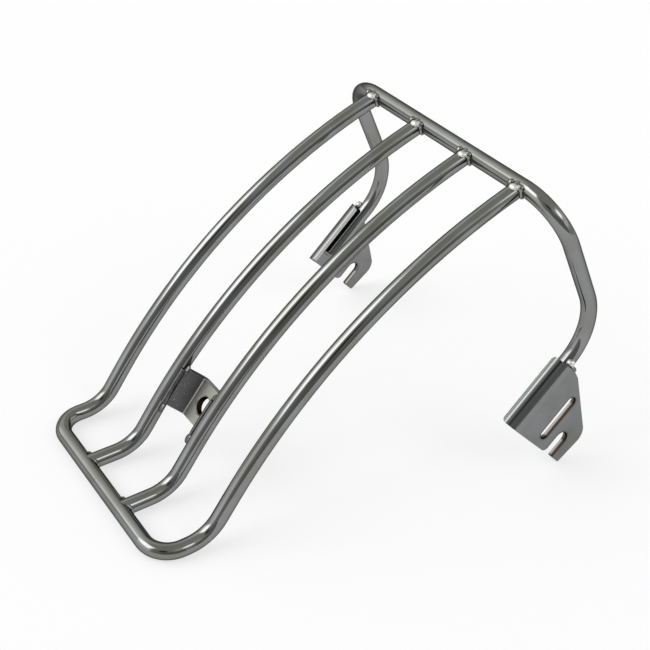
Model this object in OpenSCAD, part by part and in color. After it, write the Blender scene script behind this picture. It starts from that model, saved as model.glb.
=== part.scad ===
// Rear luggage rack for a motorcycle, bent and welded from round steel tube.
// X runs across the rack, +Y to the rear, +Z up. The rack stands on its front
// crossbar and on the tips of its two forked side plates, at Z = 0.
// All lengths in millimetres, all angles in degrees.

/* [Tube] */
// outside diameter of every tube
tube_d = 12.7; // [10:0.1:20]
// wall thickness of the tubes
tube_wall = 1.6; // [1:0.1:3]
// how much slimmer the tube's radius gets in its bends
bend_slim = 0.01; // [0.01:0.01:0.2]
// root gap between a coped tube end and the tube it is welded to
weld_gap = 0.15; // [0.05:0.05:0.6]

/* [Platform] */
// distance between the centre lines of the two outer rails
platform_w = 175.2; // [120:0.2:260]
// radius of the two front corners, at the centre line
corner_r = 21; // [15:0.5:60]
// level lip, from the crossbar's centre line to the first bend
lip_len = 25.3; // [21:0.1:60]
// radius of the bend from the lip into the slope
lip_bend_r = 30.8; // [20:0.1:80]
// angle that the rails rise to after the lip
lip_bend_a = 55.2; // [20:0.1:80]
// straight slope after the lip's bend
slope_len = 19.5; // [5:0.5:80]
// radius of the long crown of the rails
crown_r = 478.8; // [250:1:900]
// angle that the crown turns through
crown_a = 37.1; // [10:0.1:50]

/* [Rear hoop] */
// half of the straight part across the top of the hoop
hoop_half = 91.5; // [60:0.5:140]
// radius of the hoop's two upper corners
hoop_corner_r = 38; // [25:0.1:90]
// length of the straight legs
leg_len = 56.1; // [10:0.1:120]
// lean of the legs against the square to the plates' rolled edge
leg_lean = 17.9; // [0:0.1:40]
// outward lean of the legs and plates on each side
splay = 3; // [0:0.1:8]
// radius of the bend at the foot of each leg
foot_bend_r = 48.9; // [25:0.1:90]
// straight foot that lies along the side plate
foot_len = 52.3; // [30:0.1:60]

/* [Side plates] */
// slope of the rolled edge, against the lip
edge_a = 43.5; // [20:0.1:70]
// thickness of the plate
plate_t = 4.5; // [3:0.1:8]
// length of the rolled edge
plate_len = 63.8; // [50:0.1:90]
// distance from the foot bend's end to the top of the rolled edge
plate_drop = 3.5; // [1:0.1:10]
// outer radius of the rolled edge
roll_r = 12.3; // [11:0.1:20]
// where the roll starts, in front of the tube's centre line
roll_start = 3.1; // [0:0.1:8]
// radius at both corners of the roll's free edge
roll_corner_r = 3.5; // [1:0.1:6]
// how far the top edge falls away behind the tube
top_fall = 2; // [0.5:0.1:6]
// where the top edge starts to fall, from the tube's centre line
top_v = 3; // [0:0.1:6]
// width of the long closed slot
slot_w = 9.4; // [6:0.1:14]
// overall length of the closed slot
slot_len = 41; // [20:0.5:50]
// closed slot's lower end, from the plate's lower edge
slot_up = 7.3; // [4:0.1:20]
// closed slot's centre line, from the tube's centre line
slot_v = 25; // [16:0.1:35]
// width of the open fork slot
fork_w = 13.2; // [8:0.1:18]
// depth of the fork slot, from the plate's lower edge
fork_depth = 22.6; // [10:0.1:40]
// fork slot's centre line, from the tube's centre line
fork_v = 46.8; // [40:0.1:60]
// rearmost edge of the plate at the fork's tip
tip_v = 64.5; // [58:0.1:80]
// wall between the closed slot's upper end and the sloping rear edge
rear_wall = 4.7; // [2:0.1:10]
// slope of that edge, from straight across the plate
rear_slope = 28.2; // [10:0.1:45]
// how much wider the plate is at its rear corner than at the fork's tip
rear_flare = 4; // [0:0.1:8]
// radius at the lower corner beside the fork
lip_corner_r = 4.5; // [1:0.5:8]
// radius of the plate's rear corner
rear_corner_r = 13; // [2:0.5:20]
// radius of the fork tip's corners
tip_r = 1.5; // [0.5:0.1:3]

/* [Seat tab] */
// thickness of the folded tab
tab_t = 6.3; // [3:0.1:8]
// width of the tab along the rails
tab_w = 33; // [20:0.5:60]
// width of the tab's flat middle
tab_flat = 27; // [20:0.5:36]
// inside radius of the tab's folds
tab_fold_r = 1.5; // [0.5:0.1:4]
// depth of the flat middle's top face under the rails' centre lines
tab_drop = 13.7; // [6:0.1:20]
// height of the tab's ends over the rails' centre lines
tab_rise = 1.2; // [0:0.1:3]
// position of the tab along the crown
tab_pos = 2.9; // [2.2:0.1:6]
// diameter of the bolt hole
tab_hole_d = 14; // [8:0.1:18]
// width of the bevel round the hole
tab_bevel = 1.2; // [0.2:0.1:2]

/* [Welds] */
// size of the beads round the rail ends
bead = 2; // [1:0.1:4]
// radius of the drop that ends each bead at the hoop
drop_r = 3.2; // [2:0.1:5]
// how far up the joint that drop sits
drop_span = 38; // [30:1:70]
// how far the beads reach up and down the sides of a joint
bead_span = 40; // [20:1:50]
// radius of the beads along the tab and the side plates
seam_r = 2.6; // [1.5:0.1:4]
// length of the beads across the side plates
plate_bead_l = 8; // [4:0.5:12]
// how far those beads sit outside and inside the tube's side
seam_off = 1.2; // [0.5:0.1:2]

/* [Hidden] */
$fn = 64;
tube_r = tube_d / 2;
rail_x = platform_w / 2;
inner_x = platform_w / 6;
end_a = lip_bend_a - crown_a;

// Side profile of the rails, seen along X: end of the lip's bend, start of
// the crown, centre of the crown and its end, which is on the hoop's centre line.
function dir(a) = [cos(a), sin(a)];
bend_end = [lip_len + lip_bend_r * sin(lip_bend_a), lip_bend_r * (1 - cos(lip_bend_a))];
crown_start = bend_end + slope_len * dir(lip_bend_a);
crown_c = crown_start + crown_r * [sin(lip_bend_a), -cos(lip_bend_a)];
hoop_pos = crown_c + crown_r * [-sin(end_a), cos(end_a)];

// Leaning side frame: ax_u along the rolled edge, ax_w square to it and
// forwards, ax_n outwards. The legs run along leg_dir.
ax_u = [0, cos(edge_a), sin(edge_a)];
ax_w = [-sin(splay), -cos(splay) * sin(edge_a), cos(splay) * cos(edge_a)];
ax_n = cross(ax_u, ax_w);
leg_dir = -sin(leg_lean) * ax_u - cos(leg_lean) * ax_w;
hoop_turn = acos(leg_dir[0]);
hoop_a = atan2(leg_dir[2], leg_dir[1]);
foot_turn = 90 - leg_lean;
down = [0, cos(hoop_a), sin(hoop_a)];
leg_top = [hoop_half + hoop_corner_r * sin(hoop_turn), hoop_pos[0], hoop_pos[1]]
    + hoop_corner_r * (1 - cos(hoop_turn)) * down;
leg_x = sin(hoop_turn) * [1, 0, 0] - cos(hoop_turn) * down;
foot_x = unit(ax_u - (ax_u * leg_dir) * leg_dir);
foot_roll = atan2(-foot_x * cross(leg_x, leg_dir), foot_x * leg_x);
foot = leg_top + leg_len * leg_dir
    - foot_bend_r * (sin(foot_turn) * ax_u + (1 - cos(foot_turn)) * ax_w);

// Outline of a side plate, along the edge and away from it. Its rear edge keeps
// its wall to the closed slot's upper end.
low = -plate_drop - plate_len;
slot_end = low + slot_up + slot_len - slot_w / 2;
rear_gap = slot_w / 2 + rear_wall;
top_u = -plate_drop - top_fall;
rear_v = tip_v + rear_flare;
top_rear = [top_u, slot_v + (rear_gap - (top_u - slot_end) * cos(rear_slope)) / sin(rear_slope)];
rear_corner = [slot_end + (rear_gap - (rear_v - slot_v) * sin(rear_slope)) / cos(rear_slope), rear_v];
plate_pts = [
    [-plate_drop, -roll_start], [low, -roll_start], [low, fork_v - fork_w / 2],
    [low + fork_depth - fork_w / 2, fork_v - fork_w / 2],
    [low + fork_depth - fork_w / 2, fork_v + fork_w / 2], [low, fork_v + fork_w / 2],
    [low, tip_v], rear_corner, top_rear, [-plate_drop, top_v]];
plate_rad = [0, 0, lip_corner_r, 0, 0, tip_r, tip_r, rear_corner_r, 0, 0];

// Fillets on the corners of an outline, whose radii are r: the centre of one,
// its points, and the whole rounded outline.
function unit(v) = v / norm(v);
function turn_half(p, i) = let (n = len(p), a = unit(p[(i + n - 1) % n] - p[i]),
    b = unit(p[(i + 1) % n] - p[i])) acos(a * b) / 2;
function fillet_c(p, i, r) = let (n = len(p), a = unit(p[(i + n - 1) % n] - p[i]),
    b = unit(p[(i + 1) % n] - p[i])) p[i] + unit(a + b) * r / sin(turn_half(p, i));
function turned(v, a) = [v[0] * cos(a) - v[1] * sin(a), v[0] * sin(a) + v[1] * cos(a)];
function fillet(p, i, r) = let (n = len(p), into = p[i] - p[(i + n - 1) % n],
    out = p[(i + 1) % n] - p[i], c = fillet_c(p, i, r), half = turn_half(p, i),
    start = p[i] - unit(into) * r / tan(half) - c, sweep = sign(cross(into, out)) * (180 - 2 * half),
    steps = ceil(abs(sweep) / 8)) [for (j = [0 : steps]) c + turned(start, sweep * j / steps)];
function rounded(p, r) = [for (i = [0 : len(p) - 1]) each r[i] == 0 ? [p[i]] : fillet(p, i, r[i])];

// Standing pose: the lower tangent of crossbar and fork tip lies at Z = 0.
function side_pt(q, x) = foot + q[0] * ax_u - q[1] * ax_w + x * ax_n;
tip_c = side_pt(fillet_c(plate_pts, 6, tip_r), tube_r);
tip_d = norm([tip_c[1], tip_c[2]]);
stand_a = atan2(tip_c[2], tip_c[1]) + asin((tube_r - tip_r) / tip_d);
rear_c = side_pt(fillet_c(plate_pts, 7, rear_corner_r), tube_r);
rear_y = rear_c[1] * cos(stand_a) + rear_c[2] * sin(stand_a) + rear_corner_r * cos(splay);
mid_y = (rear_y - tube_r) / 2;

// Frame of the tab on the crown.
tab_a = lip_bend_a - tab_pos;
tab_half = inner_x - sqrt(tube_r * tube_r - tab_rise * tab_rise);
tab_n = unit([-tab_drop - tab_rise, tab_flat / 2 - tab_half]);
tab_low = -tab_half + (tab_t + (tab_drop + tab_t + tab_rise) * tab_n[1]) / tab_n[0];
tab_pts = [[-tab_half, tab_rise], [-tab_half, tab_rise] + tab_t * tab_n,
    [tab_low, -tab_drop - tab_t], [-tab_low, -tab_drop - tab_t],
    [tab_half - tab_t * tab_n[0], tab_rise + tab_t * tab_n[1]], [tab_half, tab_rise],
    [tab_flat / 2, -tab_drop], [-tab_flat / 2, -tab_drop]];
tab_rad = [0, 0, tab_t + tab_fold_r, tab_t + tab_fold_r, 0, 0, tab_fold_r, tab_fold_r];

// Puts the rack on its crossbar and fork tips, origin under the middle.
module stand() {
    translate([0, -mid_y, tube_r]) rotate([-stand_a, 0, 0]) children();
}

// Moves from the rack's frame to the leaning frame at the right foot.
module at_foot() {
    at_hoop() translate([0, hoop_half, 0]) after_turn(hoop_corner_r, hoop_turn)
        translate([0, leg_len, 0]) rotate([0, foot_roll, 0]) after_turn(foot_bend_r, foot_turn)
            rotate(180, [1, 0, -1]) children();
}

module both_sides() {
    children();
    mirror([1, 0, 0]) children();
}

// Bent tube: its outline less its bore.
module tube_of() {
    difference() {
        union() {
            $r = tube_r;
            children();
        }
        union() {
            $r = tube_r - tube_wall;
            children();
        }
    }
}

// Straight tube along +Y; what follows starts at its end.
module run(l) {
    rotate([-90, 0, 0]) cylinder(r = $r, h = l);
    translate([0, l, 0]) children();
}

// Moves to the end of a bend.
module after_turn(r, a) {
    translate([-r, 0, 0]) rotate([0, 0, a]) translate([r, 0, 0]) children();
}

// Bent tube from +Y towards -X. It is swept a little too far and trimmed
// square where the next length starts.
module turn(r, a) {
    difference() {
        translate([-r, 0, 0]) rotate_extrude(angle = a + 400 / r, $fn = 96)
            translate([r, 0]) circle($r - bend_slim, $fn = 64);
        after_turn(r, a) translate([-$r - 2, 0, -$r - 2]) cube([2 * $r + 4, 12, 2 * $r + 4]);
    }
    after_turn(r, a) children();
}

// Rail from the lip's bend to the hoop, starting along +Y.
module rail_path() {
    rotate([0, 90, 0]) turn(lip_bend_r, lip_bend_a) run(slope_len)
        rotate([0, 180, 0]) translate([-crown_r, 0, 0])
            rotate_extrude(angle = crown_a, $fn = 360) translate([crown_r, 0])
                circle($r - bend_slim, $fn = 64);
}

// Frame of the hoop's top tube, heading +X along it.
module at_hoop() {
    translate([0, hoop_pos[0], hoop_pos[1]]) rotate([hoop_a, 0, 0]) rotate([0, 0, -90]) children();
}

// Whole hoop in the rack's frame.
module hoop_path() {
    both_sides() at_hoop() run(hoop_half) turn(hoop_corner_r, hoop_turn) run(leg_len)
        rotate([0, foot_roll, 0]) turn(foot_bend_r, foot_turn) run(foot_len);
}

// Filled outline of the hoop, a little larger, that copes the rail ends.
module hoop_cutter(grow) {
    $r = tube_r + grow;
    both_sides() at_hoop() run(hoop_half) turn(hoop_corner_r, hoop_turn / 3);
}

module crossbar_cutter(grow, l) {
    rotate([0, 90, 0]) cylinder(r = tube_r + grow, h = l, center = true);
}

// Crossbar, front corners and both outer rails, bent from one tube.
module outer_frame() {
    color([0.78, 0.78, 0.77]) stand() difference() {
        tube_of() {
            both_sides() rotate([0, 0, -90]) run(rail_x - corner_r)
                turn(corner_r, 90) run(lip_len - corner_r) rail_path();
        }
        hoop_cutter(weld_gap);
    }
}

module inner_rail(x) {
    color([0.78, 0.78, 0.77]) stand() difference() {
        tube_of() translate([x, 0, 0]) run(lip_len) rail_path();
        translate([x, 0, 0]) crossbar_cutter(weld_gap, 4 * tube_r);
        hoop_cutter(weld_gap);
    }
}

module rear_hoop() {
    color([0.78, 0.78, 0.77]) stand() tube_of() hoop_path();
}

// Round-ended slot through a plate, from one end centre to the other.
module slot(l, w, h) {
    translate([0, 0, -1]) {
        cylinder(d = w, h = h + 2);
        translate([l, 0, 0]) cylinder(d = w, h = h + 2);
        translate([0, -w / 2, 0]) cube([l, w, h + 2]);
    }
}

// Side plate in the frame of the foot: flat forked plate with a rolled edge.
module side_plate() {
    color([0.56, 0.57, 0.57]) at_foot() {
        translate([tube_r, 0, 0]) rotate([0, 90, 0]) difference() {
            linear_extrude(plate_t)
                polygon([for (q = rounded(plate_pts, plate_rad)) [q[1], q[0]]]);
            translate([slot_v, low + slot_up + slot_w / 2, 0]) rotate([0, 0, 90])
                slot(slot_len - slot_w, slot_w, plate_t);
            translate([fork_v, low + fork_depth - fork_w / 2, -1])
                cylinder(d = fork_w, h = plate_t + 2);
        }
        rolled_edge();
    }
}

// Quarter roll along the plate's upper edge, swept too far and too long and then
// trimmed to an outline with rounded corners at its free edge.
module rolled_edge() {
    free_x = tube_r + plate_t - roll_r;
    trim = [[free_x, -plate_drop], [free_x, low], [free_x + 2 * roll_r, low],
        [free_x + 2 * roll_r, -plate_drop]];
    intersection() {
        translate([free_x, 1 - plate_drop, roll_start]) rotate([90, 0, 0])
            rotate_extrude(angle = 100) translate([roll_r - plate_t, 0])
                square([plate_t, plate_len + 2]);
        translate([0, 0, roll_start]) linear_extrude(2 * roll_r)
            polygon(rounded(trim, [roll_corner_r, roll_corner_r, 0, 0]));
    }
}

// Frame on the crown, above the rails' middle plane, where they rise at angle a.
module on_crown(a) {
    translate([0, crown_c[0] - crown_r * sin(a), crown_c[1] + crown_r * cos(a)])
        rotate([a, 0, 0]) children();
}

// Stretch of a round bar that follows the crown, centred on such a frame.
module crown_bar(x, z, r, l) {
    a = l / crown_r * 180 / PI;
    translate([x, 0, -crown_r]) rotate([0, 90, 0]) rotate([0, 0, 180 - a / 2])
        rotate_extrude(angle = a, $fn = 720) translate([crown_r + z, 0]) circle(r, $fn = 64);
}

// Folded strip that the tab is cut from.
module tab_strip() {
    translate([0, tab_w / 2, 0]) rotate([90, 0, 0]) linear_extrude(tab_w)
        polygon(rounded(tab_pts, tab_rad));
}

// Folded tab under the two inner rails, with a bevelled bolt hole.
module seat_tab() {
    color([0.5, 0.5, 0.49]) stand() on_crown(tab_a) difference() {
        tab_strip();
        for (x = [-inner_x, inner_x]) crown_bar(x, 0, tube_r + weld_gap, 1.4 * tab_w);
        translate([0, 0, -tab_drop - tab_t - 1]) cylinder(d = tab_hole_d, h = tab_t + 2);
        translate([0, 0, -tab_drop - tab_bevel]) cylinder(d1 = tab_hole_d,
            d2 = tab_hole_d + 4 * tab_bevel, h = 2 * tab_bevel);
    }
}

// Bead up one side of a square joint between two equal tubes. It follows the
// curve where they meet, in the plane that halves the corner.
module side_bead(s) {
    h = tube_r * sin(bead_span);
    g = sqrt(2) * tube_r * (1 - cos(bead_span));
    r = (h * h + g * g) / (2 * g);
    a = 2 * asin(h / r);
    rotate([0, 0, s > 0 ? 45 : 135]) translate([sqrt(2) * tube_r - r, 0, 0])
        rotate([90, 0, 0]) rotate([0, 0, -a / 2])
            rotate_extrude(angle = a) translate([r, 0]) circle(bead, $fn = 32);
}

// Drop of weld metal where a bead ends, high in the corner of the joint.
module end_drop(s) {
    rotate([0, 0, s > 0 ? 45 : 135])
        translate([sqrt(2) * tube_r * cos(drop_span), 0, tube_r * sin(drop_span)])
            sphere(drop_r, $fn = 32);
}

// Weld between the crossbar and the inner rail at x.
module weld_crossbar(x) {
    color([0.7, 0.7, 0.69]) stand() difference() {
        translate([x, 0, 0]) for (s = [-1, 1]) side_bead(s);
        crossbar_cutter(0, platform_w - 2 * corner_r);
        translate([x, 0, 0]) rotate([-90, 0, 0]) cylinder(r = tube_r, h = lip_len);
    }
}

// Weld between the hoop and the end of the rail at x.
module weld_hoop(x) {
    color([0.7, 0.7, 0.69]) stand() difference() {
        on_crown(end_a) difference() {
            translate([x, 0, 0]) for (s = [-1, 1]) rotate([0, 0, 180]) {
                side_bead(s);
                end_drop(s);
            }
            crown_bar(x, 0, tube_r, 4 * tube_r);
        }
        hoop_cutter(0);
    }
}

// Bead along the top of the joint between the tab and one inner rail.
module weld_tab(s) {
    color([0.62, 0.62, 0.6]) stand() on_crown(tab_a) difference() {
        crown_bar(s * (tab_half - 0.4), tab_rise + 0.6, seam_r, tab_w - 2);
        crown_bar(s * inner_x, 0, tube_r, 1.4 * tab_w);
        tab_strip();
    }
}

// Beads at both ends of the foot tube on a side plate.
module weld_plate() {
    $r = tube_r;
    color([0.62, 0.62, 0.6]) difference() {
        at_foot() union() {
            translate([tube_r + seam_off, 0.4 - plate_drop, 0.5 - plate_bead_l / 2 - seam_off])
                cylinder(r = seam_r, h = plate_bead_l - seam_off);
            translate([tube_r - seam_off, -foot_len - 0.6, -plate_bead_l / 2])
                cylinder(r = seam_r, h = plate_bead_l);
        }
        at_foot() {
            translate([tube_r, -plate_drop - plate_len, -tip_v])
                cube([plate_t, plate_len, tip_v + roll_start]);
            rolled_edge();
        }
        at_hoop() translate([0, hoop_half, 0]) after_turn(hoop_corner_r, hoop_turn)
            translate([0, leg_len, 0]) rotate([0, foot_roll, 0]) turn(foot_bend_r, foot_turn)
                run(foot_len);
    }
}

outer_frame();
inner_rail(-inner_x);  // inner_rail_left
inner_rail(inner_x);  // inner_rail_right
rear_hoop();
stand() mirror([1, 0, 0]) side_plate();  // side_plate_left
stand() side_plate();  // side_plate_right
seat_tab();
weld_crossbar(-inner_x);  // weld_crossbar_left
weld_crossbar(inner_x);  // weld_crossbar_right
weld_hoop(-rail_x);  // weld_hoop_outer_left
weld_hoop(-inner_x);  // weld_hoop_inner_left
weld_hoop(inner_x);  // weld_hoop_inner_right
weld_hoop(rail_x);  // weld_hoop_outer_right
weld_tab(-1);  // weld_tab_left
weld_tab(1);  // weld_tab_right
stand() mirror([1, 0, 0]) weld_plate();  // weld_plate_left
stand() weld_plate();  // weld_plate_right
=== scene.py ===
"""Looks of a chromed motorcycle luggage rack, in metres."""
import math
from collections import namedtuple

import bpy
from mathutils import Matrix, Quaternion, Vector


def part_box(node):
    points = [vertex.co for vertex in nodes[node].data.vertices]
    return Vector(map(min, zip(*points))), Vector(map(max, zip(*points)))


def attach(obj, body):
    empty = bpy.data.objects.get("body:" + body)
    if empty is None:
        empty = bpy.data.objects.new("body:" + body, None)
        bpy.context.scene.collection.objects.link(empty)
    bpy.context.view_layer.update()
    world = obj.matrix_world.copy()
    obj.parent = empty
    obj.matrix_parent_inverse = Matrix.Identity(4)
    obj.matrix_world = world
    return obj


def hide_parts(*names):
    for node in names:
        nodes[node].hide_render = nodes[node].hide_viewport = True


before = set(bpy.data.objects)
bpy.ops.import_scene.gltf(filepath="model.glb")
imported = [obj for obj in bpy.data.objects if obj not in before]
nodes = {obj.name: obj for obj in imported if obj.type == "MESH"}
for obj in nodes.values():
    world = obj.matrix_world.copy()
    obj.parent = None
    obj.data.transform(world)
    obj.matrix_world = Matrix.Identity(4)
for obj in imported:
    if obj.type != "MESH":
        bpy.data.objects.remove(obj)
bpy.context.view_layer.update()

# Which nodes wear which finish
TUBES = ("outer_frame", "inner_rail_left", "inner_rail_right", "rear_hoop")
PLATES = ("side_plate_left", "side_plate_right")
CROSSBAR_WELDS = ("weld_crossbar_left", "weld_crossbar_right")
TAB_WELDS = ("weld_tab_left", "weld_tab_right")

# Camera of the photograph
CAMERA_AT = Vector((0.61516, -0.43674, 0.61615))
CAMERA_AIM = Vector((0.01751, 0.00845, 0.10269))
CAMERA_ROLL = math.radians(4.64)
CAMERA_LENS = 64.85
CAMERA_SENSOR = 36
CAMERA_SHIFT = (0.0014, 0.0027)
CAMERA_CLIP = (0.01, 200)

# Last drops of the welds: where they lie, their half sizes and the turn of those at the hoop
HOOP_DROPS = {
    "weld_hoop_outer_left": (-0.0852, 0.1131, 0.2336),
    "weld_hoop_inner_left": (-0.0270, 0.1131, 0.2336),
    "weld_hoop_inner_right": (0.0314, 0.1126, 0.2334),
    "weld_hoop_outer_right": (0.0892, 0.1126, 0.2334)}
PLATE_DROPS = {
    "weld_plate_left": (-0.1406, 0.1552, 0.0952),
    "weld_plate_right": (0.1406, 0.1552, 0.0952)}
HOOP_DROP = (0.0040, 0.0030, 0.0021)
HOOP_TILT = math.radians(20)
PLATE_DROP = (0.0034, 0.0036, 0.0030)
TAB_DROP = (0.0032, 0.0046, 0.0013)
TAB_DROP_IN = 0.0008
TAB_DROP_DOWN = 0.0020

# How a bead and its drops are melted together
WELD_TOLERANCE = 0.00001
WELD_VOXEL = 0.00035
WELD_FLOW = 0.5
WELD_FLOW_STEPS = 24

# Painted highlight on the drops' face: how far from a drop's middle it reaches, times DROP_BLUR
# where it ends, and how much rougher it is
HOOP_HIGHLIGHT_REACH = 0.0038
PLATE_HIGHLIGHT_REACH = 0.0036
DROP_BLUR = 1.25
DROP_SATIN = 0.26

# Colours, all linear; EDGE tints the metal at grazing angles, HAZE_TINT where it is hazed
CHROME = (0.252, 0.257, 0.259)
PLATE_CHROME = (0.240, 0.248, 0.254)
TAB_CHROME = (0.430, 0.435, 0.410)
# Painted shade on the tab's slopes, also used to darken the tab's weld seams
TAB_SLOPE_SHADE = (0.150, 0.150, 0.155)
# Brown stain in the welds' pits, and a painted brown reflection round the plate's slot rims
BROWN_STAIN_AND_REFLECTION = (0.070, 0.045, 0.028)
WELD_CHROME = (0.270, 0.270, 0.262)
# Painted highlight colour: on the drops' face, on the left roll's lip and a little on the tab's
# spatter
PAINTED_HIGHLIGHT = (0.780, 0.780, 0.760)
# Painted shade in the plate's slot walls and in the tab's bolt hole
WALL_SHADE = (0.016, 0.010, 0.006)
# Painted shade on the right plate's roll edge, dimming its reflection
EDGE_SHADE = (0.075, 0.080, 0.072)
EDGE = (0.22, 0.22, 0.22)
HAZE_TINT = (0.86, 0.84, 0.78)

# Noise of the plating, as scale and detail, and the noise values between which a mark grows
HAZE_NOISE = (38, 5)
HAZE_RANGE = (0.38, 0.68)
SCRATCH_NOISE = (900, 2)
SCRATCH_RANGE = (0.55, 0.75)
SCRATCH_SHARE = 0.4
WAVE_NOISE = (55, 1)
NOISE_MIDDLE = 0.5
PIT_DETAIL = 3

# Frame of the right side plate at the hoop's foot
FOOT_AT = Vector((0.134019, 0.158359, 0.092431))
PLATE_ALONG = Vector((0.0, 0.69442, 0.71957))
PLATE_UP = Vector((-0.05234, -0.71858, 0.69347))
PLATE_OUT = Vector((0.99863, -0.03766, 0.03634))

# Its closed slot and its fork: ends along the plate, centre line below the foot, half width
SLOT = (-0.0553, -0.0237, 0.025, 0.0047)
FORK = (-0.0773, -0.0513, 0.0468, 0.0066)

# Where its painted light begins and where it is full: outwards from the foot's middle for the
# roll and the walls' outer half, out from the slots for the walls and their rims
ROLL_EDGE_SHADE = (0.0022, 0.0004)
ROLL_LIP_HIGHLIGHT = (-0.0002, -0.0020)
WALL_DEPTH = (0.0080, 0.0092)
WALL_BLUR = (0.0004, 0.0001)
RIM_REFLECTION_BLUR = (0.0022, 0.0002)
# Painted light on the plate: painted shade on the right roll edge and in the slot walls, a
# painted highlight on the left roll's lip, a painted brown reflection round the rims
PLATE_PAINTED_LIGHT = (("Edge Shade", EDGE_SHADE, 0.9), ("Edge Highlight", PAINTED_HIGHLIGHT, 0.6),
                ("Rim Reflection", BROWN_STAIN_AND_REFLECTION, 0.5), ("Wall Shade", WALL_SHADE, 0.95))

# The tab: its bolt hole, its flat middle beyond which the slopes get painted shade, and its
# ends, and the spatter on the ends
TAB_HOLE_AT = Vector((0.0, -0.08553, 0.04837))
TAB_HOLE_AXIS = Vector((0.0, -0.817333, 0.576165))
TAB_HOLE_R = 0.007
TAB_MIDDLE = (0.0140, 0.0130)
TAB_ENDS = (0.013, 0.021)
SPATTER_NOISE = (650, 2)
SPATTER_RANGE = (0.58, 0.64)
SPATTER_RISE = 2.5
# How far the spatter is painted towards the highlight colour, a painted glint
SPATTER_GLINT = 0.2

# Studio surroundings: each patch of the sky lies over those before it and has an azimuth,
# elevation, half width, half height and blur in degrees, a level and a tint
FLOOR_RADIUS = 30
FLOOR_PAPER = (0.34, 0.34, 0.342, 1)
FLOOR_GLOW = (0.99, 0.99, 1.0, 1)
FLOOR_LEVEL = 0.66
ROOM = (0.56, 0.57, 0.53)
WHITE = (1, 1, 1)
OLIVE = (1.0, 1.02, 0.96)
WARM = (1.0, 0.97, 0.93)
PATCH_PLACE = ("Azimuth", "Elevation", "Half Width", "Half Height", "Blur")
SKY_PATCHES = (
    (0, -8, 200, 11, 1.5, 1.0, WHITE),
    (-85, 40, 20, 18, 10, 0.95, OLIVE),
    (90, 46, 16, 14, 8, 0.85, OLIVE),
    (-112, 44, 16, 12, 8, 1.35, OLIVE),
    (-164, 16, 24, 15, 7, 1.35, WHITE),
    (-153, 43, 27, 15, 5, 4.0, WHITE),
    (-120, 27, 13, 10, 8, 1.9, WHITE),
    (34, 24, 36, 6, 6, 1.3, WARM),
    (58, 43, 20, 8, 5, 3.2, WHITE),
    (152, 24, 18, 26, 8, 0.42, WHITE),
    (112, 10, 36, 22, 8, 0.28, WHITE),
    (139, 40, 12, 8, 4, 0.04, WHITE))

# Sockets of a colour mix
MIX_FACTOR, MIX_BASE, MIX_OVER, MIX_RESULT = 0, 6, 7, 2

Plating = namedtuple("Plating", "material tree shader place shade rough relief bump")


def add_node(tree, kind, inputs=None, **settings):
    """Adds a node; each of its inputs is given a value or is linked to a socket."""
    node = tree.nodes.new(kind)
    for key, value in settings.items():
        setattr(node, key, value)
    for key, value in (inputs or {}).items():
        if isinstance(value, bpy.types.NodeSocket):
            tree.links.new(value, node.inputs[key])
        else:
            node.inputs[key].default_value = value
    return node


def new_group(name, vector, numbers, results):
    """A node group that takes one vector and some numbers and gives numbers."""
    tree = bpy.data.node_groups.new(name, "ShaderNodeTree")
    tree.interface.new_socket(vector, in_out="INPUT", socket_type="NodeSocketVector")
    for label in numbers:
        tree.interface.new_socket(label, in_out="INPUT", socket_type="NodeSocketFloat")
    for label in results:
        tree.interface.new_socket(label, in_out="OUTPUT", socket_type="NodeSocketFloat")
    return tree, tree.nodes.new("NodeGroupInput"), tree.nodes.new("NodeGroupOutput")


def calculator(tree):
    """Makes math nodes whose inputs are numbers or sockets."""
    def calculate(operation, *values):
        node = add_node(tree, "ShaderNodeMath", dict(enumerate(values)), operation=operation)
        return node.outputs[0]
    return calculate


def vector_math(tree, operation, *values):
    return add_node(tree, "ShaderNodeVectorMath", dict(enumerate(values)), operation=operation)


def ramp(tree, source, low, high):
    """Stretches a value so that low becomes 0 and high becomes 1."""
    stretch = add_node(tree, "ShaderNodeMapRange",
                       {"Value": source, "From Min": low, "From Max": high}, clamp=True)
    return stretch.outputs["Result"]


def noise(tree, place, scale, detail):
    texture = add_node(tree, "ShaderNodeTexNoise",
                       {"Vector": place, "Scale": scale, "Detail": detail})
    return texture.outputs["Fac"]


# Lays real stains and haze, the painted shade, highlights, glints and reflections of the
# plates, tab and drops, and the sky's patches
def stain(tree, base, mask, colour, strength=1.0):
    """Lays a colour over a base by a mask; each colour is three numbers or a socket."""
    under, over = (part if isinstance(part, bpy.types.NodeSocket) else (*part, 1)
                   for part in (base, colour))
    amount = calculator(tree)("MULTIPLY", mask, strength)
    mix = add_node(tree, "ShaderNodeMix",
                   {MIX_FACTOR: amount, MIX_BASE: under, MIX_OVER: over}, data_type="RGBA")
    return mix.outputs[MIX_RESULT]


def polish_group():
    """Polishing haze, fine scratches and a slight waviness of plated metal."""
    tree, start, end = new_group(
        "polished_plating", "Place", ["Haze", "Gloss"], ["Roughness", "Height", "Cloud"])
    calculate = calculator(tree)
    place = start.outputs["Place"]
    haze = ramp(tree, noise(tree, place, *HAZE_NOISE), *HAZE_RANGE)
    fine = ramp(tree, noise(tree, place, *SCRATCH_NOISE), *SCRATCH_RANGE)
    dull = calculate("MULTIPLY_ADD", fine, SCRATCH_SHARE, haze)
    rough = calculate("MULTIPLY_ADD", dull, start.outputs["Haze"], start.outputs["Gloss"])
    tree.links.new(rough, end.inputs["Roughness"])
    tree.links.new(noise(tree, place, *WAVE_NOISE), end.inputs["Height"])
    tree.links.new(haze, end.inputs["Cloud"])
    return tree


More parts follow.
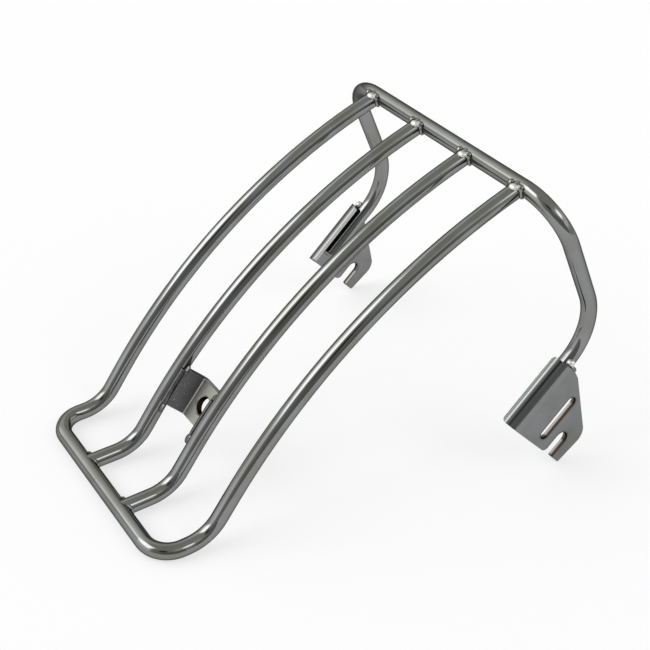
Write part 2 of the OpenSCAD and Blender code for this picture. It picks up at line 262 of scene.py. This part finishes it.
def plated(name, colour, gloss, haze, wave):
    """Plated metal: gloss is its roughness where clear, haze adds to it, wave is its relief."""
    material = bpy.data.materials.new(name)
    material.use_nodes = True
    tree = material.node_tree
    shader = tree.nodes["Principled BSDF"]
    shader.inputs["Metallic"].default_value = 1.0
    shader.inputs["Specular Tint"].default_value = (*EDGE, 1)
    place = add_node(tree, "ShaderNodeTexCoord").outputs["Object"]
    polish = add_node(tree, "ShaderNodeGroup",
                      {"Place": place, "Gloss": gloss, "Haze": haze}, node_tree=POLISH)
    rough, relief = polish.outputs["Roughness"], polish.outputs["Height"]
    bump = add_node(tree, "ShaderNodeBump",
                    {"Strength": 1.0, "Distance": wave, "Height": relief})
    hazed = tuple(part * tint for part, tint in zip(colour, HAZE_TINT))
    shade = stain(tree, colour, polish.outputs["Cloud"], hazed)
    tree.links.new(rough, shader.inputs["Roughness"])
    tree.links.new(bump.outputs["Normal"], shader.inputs["Normal"])
    tree.links.new(shade, shader.inputs["Base Color"])
    return Plating(material, tree, shader, place, shade, rough, relief, bump)


def plate_light_masks_group():
    """Where a side plate gets painted light: painted shade on the slot walls and the right
    roll's free edge, a painted brown reflection round the slot rims and a painted highlight on
    the left roll's free edge.
    """
    tree, start, end = new_group(
        "plate_light_masks", "Place", [], ["Wall Shade", "Rim Reflection", "Edge Shade", "Edge Highlight"])
    calculate = calculator(tree)
    parts = add_node(tree, "ShaderNodeSeparateXYZ", {"Vector": start.outputs["Place"]})
    side = parts.outputs["X"]
    mirrored = add_node(tree, "ShaderNodeCombineXYZ", {
        "X": calculate("ABSOLUTE", side), "Y": parts.outputs["Y"], "Z": parts.outputs["Z"]})

    def along(direction):
        """Distance from the hoop's foot along one direction of the plate."""
        product = vector_math(tree, "DOT_PRODUCT", mirrored.outputs[0], direction)
        return calculate("SUBTRACT", product.outputs["Value"], FOOT_AT.dot(direction))

    length, down, out = along(PLATE_ALONG), along(-PLATE_UP), along(PLATE_OUT)

    def from_slot(low_end, high_end, line, half_width):
        """Distance outside the wall of a round-ended slot."""
        short = calculate("SUBTRACT", low_end, length)
        over = calculate("MAXIMUM", calculate("SUBTRACT", length, high_end), 0.0)
        reach = calculate("MAXIMUM", short, over)
        aside = calculate("SUBTRACT", down, line)
        squares = calculate("MULTIPLY_ADD", reach, reach, calculate("MULTIPLY", aside, aside))
        return calculate("SUBTRACT", calculate("SQRT", squares), half_width)

    gap = calculate("MINIMUM", from_slot(*SLOT), from_slot(*FORK))
    # Painted brown reflection round the slot rims
    tree.links.new(ramp(tree, gap, *RIM_REFLECTION_BLUR), end.inputs["Rim Reflection"])
    for label, mark, where in (
            # Painted shade on the slot walls' outer half
            ("Wall Shade", ramp(tree, gap, *WALL_BLUR), ramp(tree, out, *WALL_DEPTH)),
            # Painted shade on the right roll's free edge
            ("Edge Shade", ramp(tree, out, *ROLL_EDGE_SHADE), calculate("GREATER_THAN", side, 0.0)),
            # Painted highlight on the left roll's lip
            ("Edge Highlight", ramp(tree, out, *ROLL_LIP_HIGHLIGHT), calculate("LESS_THAN", side, 0.0))):
        tree.links.new(calculate("MULTIPLY", mark, where), end.inputs[label])
    return tree


def tube_finish():
    return plated("chromed_tube", CHROME, gloss=0.07, haze=0.04, wave=0.00006).material


def plate_with_painted_light():
    """Pressed plate: painted shade in the slot walls and on the right roll edge, a painted
    highlight on the left one, a painted brown reflection round the rims.
    """
    metal = plated("chromed_plate", PLATE_CHROME, gloss=0.13, haze=0.06, wave=0.00004)
    light_masks = add_node(metal.tree, "ShaderNodeGroup", {"Place": metal.place},
                     node_tree=PLATE_LIGHT_MASKS)
    shade = metal.shade
    for mark, colour, strength in PLATE_PAINTED_LIGHT:
        shade = stain(metal.tree, shade, light_masks.outputs[mark], colour, strength)
    metal.tree.links.new(shade, metal.shader.inputs["Base Color"])
    return metal.material


def wear(name, colour, gloss, grain, grain_size, strength, reach):
    """Plating over weld spatter: a grainy relief and brown stain in its hollows."""
    metal = plated(name, colour, gloss, haze=0.14, wave=0.0001)
    tree = metal.tree
    pits = noise(tree, metal.place, 1 / grain_size, PIT_DETAIL)
    relief = calculator(tree)("MULTIPLY_ADD", pits, grain, metal.relief)
    hollow = ramp(tree, pits, NOISE_MIDDLE, NOISE_MIDDLE - reach)
    shade = stain(tree, metal.shade, hollow, BROWN_STAIN_AND_REFLECTION, strength)
    tree.links.new(relief, metal.bump.inputs["Height"])
    tree.links.new(shade, metal.shader.inputs["Base Color"])
    return metal.material


def weld_finish():
    return wear("plated_weld", WELD_CHROME, gloss=0.12, grain=1.5, grain_size=0.0022,
                strength=0.15, reach=0.15)


def seam_shade_and_stain():
    # The seam is darkened with the tab slopes' painted shade; the brown in its pits is stain
    return wear("shaded_stained_seam", TAB_SLOPE_SHADE, gloss=0.2, grain=1.2, grain_size=0.0018,
                strength=0.4, reach=0.12)


def tab_with_painted_light():
    """Folded strip: a pale middle, painted shade on the slopes, a little spatter with a painted
    glint and painted shade in the hole wall.
    """
    metal = plated("chromed_tab", TAB_CHROME, gloss=0.30, haze=0.08, wave=0.00004)
    tree = metal.tree
    calculate = calculator(tree)
    offset = vector_math(tree, "SUBTRACT", metal.place, TAB_HOLE_AT)
    across = vector_math(tree, "CROSS_PRODUCT", offset.outputs["Vector"], TAB_HOLE_AXIS)
    radius = vector_math(tree, "LENGTH", across.outputs["Vector"])
    # Painted shade in the bolt hole's wall
    wall = ramp(tree, radius.outputs["Value"], *(TAB_HOLE_R + depth for depth in WALL_BLUR))
    parts = add_node(tree, "ShaderNodeSeparateXYZ", {"Vector": metal.place})
    aside = calculate("ABSOLUTE", parts.outputs["X"])
    spots = ramp(tree, noise(tree, metal.place, *SPATTER_NOISE), *SPATTER_RANGE)
    spatter = calculate("MULTIPLY", spots, ramp(tree, aside, *TAB_ENDS))
    relief = calculate("MULTIPLY_ADD", spatter, SPATTER_RISE, metal.relief)
    # Painted shade on the slopes, beyond the flat middle
    shade = stain(tree, TAB_SLOPE_SHADE, ramp(tree, aside, *TAB_MIDDLE), metal.shade)
    # Painted glint on the spatter
    shade = stain(tree, shade, spatter, PAINTED_HIGHLIGHT, SPATTER_GLINT)
    shade = stain(tree, shade, wall, WALL_SHADE)
    tree.links.new(relief, metal.bump.inputs["Height"])
    tree.links.new(shade, metal.shader.inputs["Base Color"])
    return metal.material


def drop_with_painted_highlight(name, spots, reach):
    """A weld like the tubes, with a satin face on its last drops that carries a painted
    highlight.
    """
    metal = plated(name, WELD_CHROME, gloss=0.12, haze=0.1, wave=0.00008)
    tree = metal.tree
    calculate = calculator(tree)
    nearest, *others = (vector_math(tree, "DISTANCE", metal.place, spot).outputs["Value"]
                        for spot in spots)
    for gap in others:
        nearest = calculate("MINIMUM", nearest, gap)
    face = ramp(tree, nearest, reach * DROP_BLUR, reach)
    rough = calculate("MULTIPLY_ADD", face, DROP_SATIN, metal.rough)
    # Painted highlight: the drops' face is painted near white
    shade = stain(tree, metal.shade, face, PAINTED_HIGHLIGHT)
    tree.links.new(rough, metal.shader.inputs["Roughness"])
    tree.links.new(shade, metal.shader.inputs["Base Color"])
    return metal.material


def melted_weld(name, drops, material):
    """The bead of a CAD weld melted together with its last drops.

    A drop is its middle, its half sizes and its turn about the X axis."""
    bpy.ops.object.select_all(action="DESELECT")
    bead = bpy.data.objects.new(name + "_bead", nodes[name].data.copy())
    bpy.context.scene.collection.objects.link(bead)
    added = []
    for spot, half_size, tilt in drops:
        bpy.ops.mesh.primitive_uv_sphere_add(
            segments=24, ring_count=16, radius=1, location=spot, scale=half_size,
            rotation=(tilt, 0, 0))
        bpy.ops.object.transform_apply(location=True, rotation=True, scale=True)
        added.append(bpy.context.active_object)
    for piece in [bead] + added:
        piece.select_set(True)
    bpy.context.view_layer.objects.active = bead
    bpy.ops.object.join()
    bpy.ops.object.mode_set(mode="EDIT")
    bpy.ops.mesh.select_all(action="SELECT")
    bpy.ops.mesh.remove_doubles(threshold=WELD_TOLERANCE)
    bpy.ops.object.mode_set(mode="OBJECT")
    melt = bead.modifiers.new("melt", "REMESH")
    melt.mode = "VOXEL"
    melt.voxel_size = WELD_VOXEL
    bpy.ops.object.modifier_apply(modifier="melt")
    flow = bead.modifiers.new("flow", "SMOOTH")
    flow.factor = WELD_FLOW
    flow.iterations = WELD_FLOW_STEPS
    bpy.ops.object.modifier_apply(modifier="flow")
    bpy.ops.object.shade_smooth()
    bead.data.materials.clear()
    bead.data.materials.append(material)
    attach(bead, "root")
    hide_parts(name)


def make_welds():
    """Welds at the hoop, at the plates' upper ends and along the tab's ends."""
    top = drop_with_painted_highlight("hoop_weld", HOOP_DROPS.values(), HOOP_HIGHLIGHT_REACH)
    for name, spot in HOOP_DROPS.items():
        melted_weld(name, [(spot, HOOP_DROP, HOOP_TILT)], top)
    foot = drop_with_painted_highlight("plate_weld", PLATE_DROPS.values(), PLATE_HIGHLIGHT_REACH)
    for name, spot in PLATE_DROPS.items():
        melted_weld(name, [(spot, PLATE_DROP, 0)], foot)
    seam = seam_shade_and_stain()
    for name in TAB_WELDS:
        low, high = (Vector(corner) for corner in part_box(name))
        slope = math.atan2(high.z - low.z, high.y - low.y)
        middle = (low.x + high.x) / 2
        middle -= math.copysign(TAB_DROP_IN, middle)
        ends = [Vector((middle, end.y, end.z - TAB_DROP_DOWN)) for end in (low, high)]
        melted_weld(name, [(end, TAB_DROP, slope) for end in ends], seam)


def paint(names, material):
    for name in names:
        node = nodes[name]
        if not node.material_slots:
            node.data.materials.append(material)
        for slot in node.material_slots:
            slot.material = material


def make_camera():
    data = bpy.data.cameras.new("camera")
    data.lens = CAMERA_LENS
    data.sensor_width = CAMERA_SENSOR
    data.shift_x, data.shift_y = CAMERA_SHIFT
    data.clip_start, data.clip_end = CAMERA_CLIP
    camera = bpy.data.objects.new("camera", data)
    camera.location = CAMERA_AT
    camera.rotation_mode = "QUATERNION"
    aim = (CAMERA_AIM - CAMERA_AT).to_track_quat("-Z", "Y")
    camera.rotation_quaternion = aim @ Quaternion((0, 0, 1), CAMERA_ROLL)
    bpy.context.scene.collection.objects.link(camera)
    bpy.context.scene.camera = camera


def make_floor():
    """Pale floor that the camera and the metal see near white, with the rack's shadow."""
    bpy.ops.object.select_all(action="DESELECT")
    bpy.ops.mesh.primitive_circle_add(vertices=96, radius=FLOOR_RADIUS, fill_type="NGON")
    floor = bpy.context.active_object
    floor.name = "studio_floor"
    material = bpy.data.materials.new("studio_floor")
    material.use_nodes = True
    tree = material.node_tree
    tree.nodes.clear()
    calculate = calculator(tree)
    ray = add_node(tree, "ShaderNodeLightPath").outputs
    straight = calculate("MAXIMUM", ray["Is Camera Ray"], ray["Is Glossy Ray"])
    seen = calculate("MAXIMUM", straight, ray["Is Transmission Ray"])
    glow = add_node(tree, "ShaderNodeEmission", {
        "Color": FLOOR_GLOW, "Strength": calculate("MULTIPLY", seen, FLOOR_LEVEL)})
    paper = add_node(tree, "ShaderNodeBsdfDiffuse", {"Color": FLOOR_PAPER})
    both = add_node(tree, "ShaderNodeAddShader", {0: paper.outputs[0], 1: glow.outputs[0]})
    add_node(tree, "ShaderNodeOutputMaterial", {"Surface": both.outputs[0]})
    floor.data.materials.append(material)


def sky_patch_group():
    """Mask of a soft-edged patch of sky, placed by azimuth and elevation in degrees."""
    tree, start, end = new_group("sky_patch", "Direction", PATCH_PLACE, ["Mask"])
    calculate = calculator(tree)
    given = start.outputs

    def inside(distance, half):
        """1 well inside a half width, 0 beyond it, over the blur."""
        depth = calculate("DIVIDE", calculate("SUBTRACT", half, distance), given["Blur"])
        edge = add_node(tree, "ShaderNodeMapRange",
                        {"Value": depth, "From Min": -1, "From Max": 1},
                        interpolation_type="SMOOTHSTEP")
        return edge.outputs["Result"]

    turn = add_node(
        tree, "ShaderNodeVectorRotate",
        {"Vector": given["Direction"], "Angle": calculate("RADIANS", given["Azimuth"])},
        rotation_type="Z_AXIS")
    parts = add_node(tree, "ShaderNodeSeparateXYZ", {"Vector": turn.outputs["Vector"]})
    around = calculate("DEGREES", calculate("ARCTAN2", parts.outputs["X"], parts.outputs["Y"]))
    height = calculate("DEGREES", calculate("ARCSINE", parts.outputs["Z"]))
    above = calculate("SUBTRACT", height, given["Elevation"])
    across = inside(calculate("ABSOLUTE", around), given["Half Width"])
    upright = inside(calculate("ABSOLUTE", above), given["Half Height"])
    tree.links.new(calculate("MULTIPLY", across, upright), end.inputs["Mask"])
    return tree


def make_sky():
    """Studio round the rack: a grey room with softboxes, a dim wall and a dark side."""
    world = bpy.data.worlds.new("studio")
    world.use_nodes = True
    tree = world.node_tree
    way = add_node(tree, "ShaderNodeTexCoord").outputs["Generated"]
    group = sky_patch_group()
    shade = ROOM
    for *place, level, tint in SKY_PATCHES:
        patch = add_node(tree, "ShaderNodeGroup",
                         {"Direction": way, **dict(zip(PATCH_PLACE, place))}, node_tree=group)
        colour = tuple(level * part for part in tint)
        shade = stain(tree, shade, patch.outputs["Mask"], colour)
    tree.links.new(shade, tree.nodes["Background"].inputs["Color"])
    bpy.context.scene.world = world


POLISH = polish_group()
PLATE_LIGHT_MASKS = plate_light_masks_group()
paint(TUBES, tube_finish())
paint(PLATES, plate_with_painted_light())
paint(("seat_tab",), tab_with_painted_light())
paint(CROSSBAR_WELDS, weld_finish())
make_welds()
make_camera()
bpy.context.scene.view_settings.view_transform = "Standard"
make_sky()
make_floor()
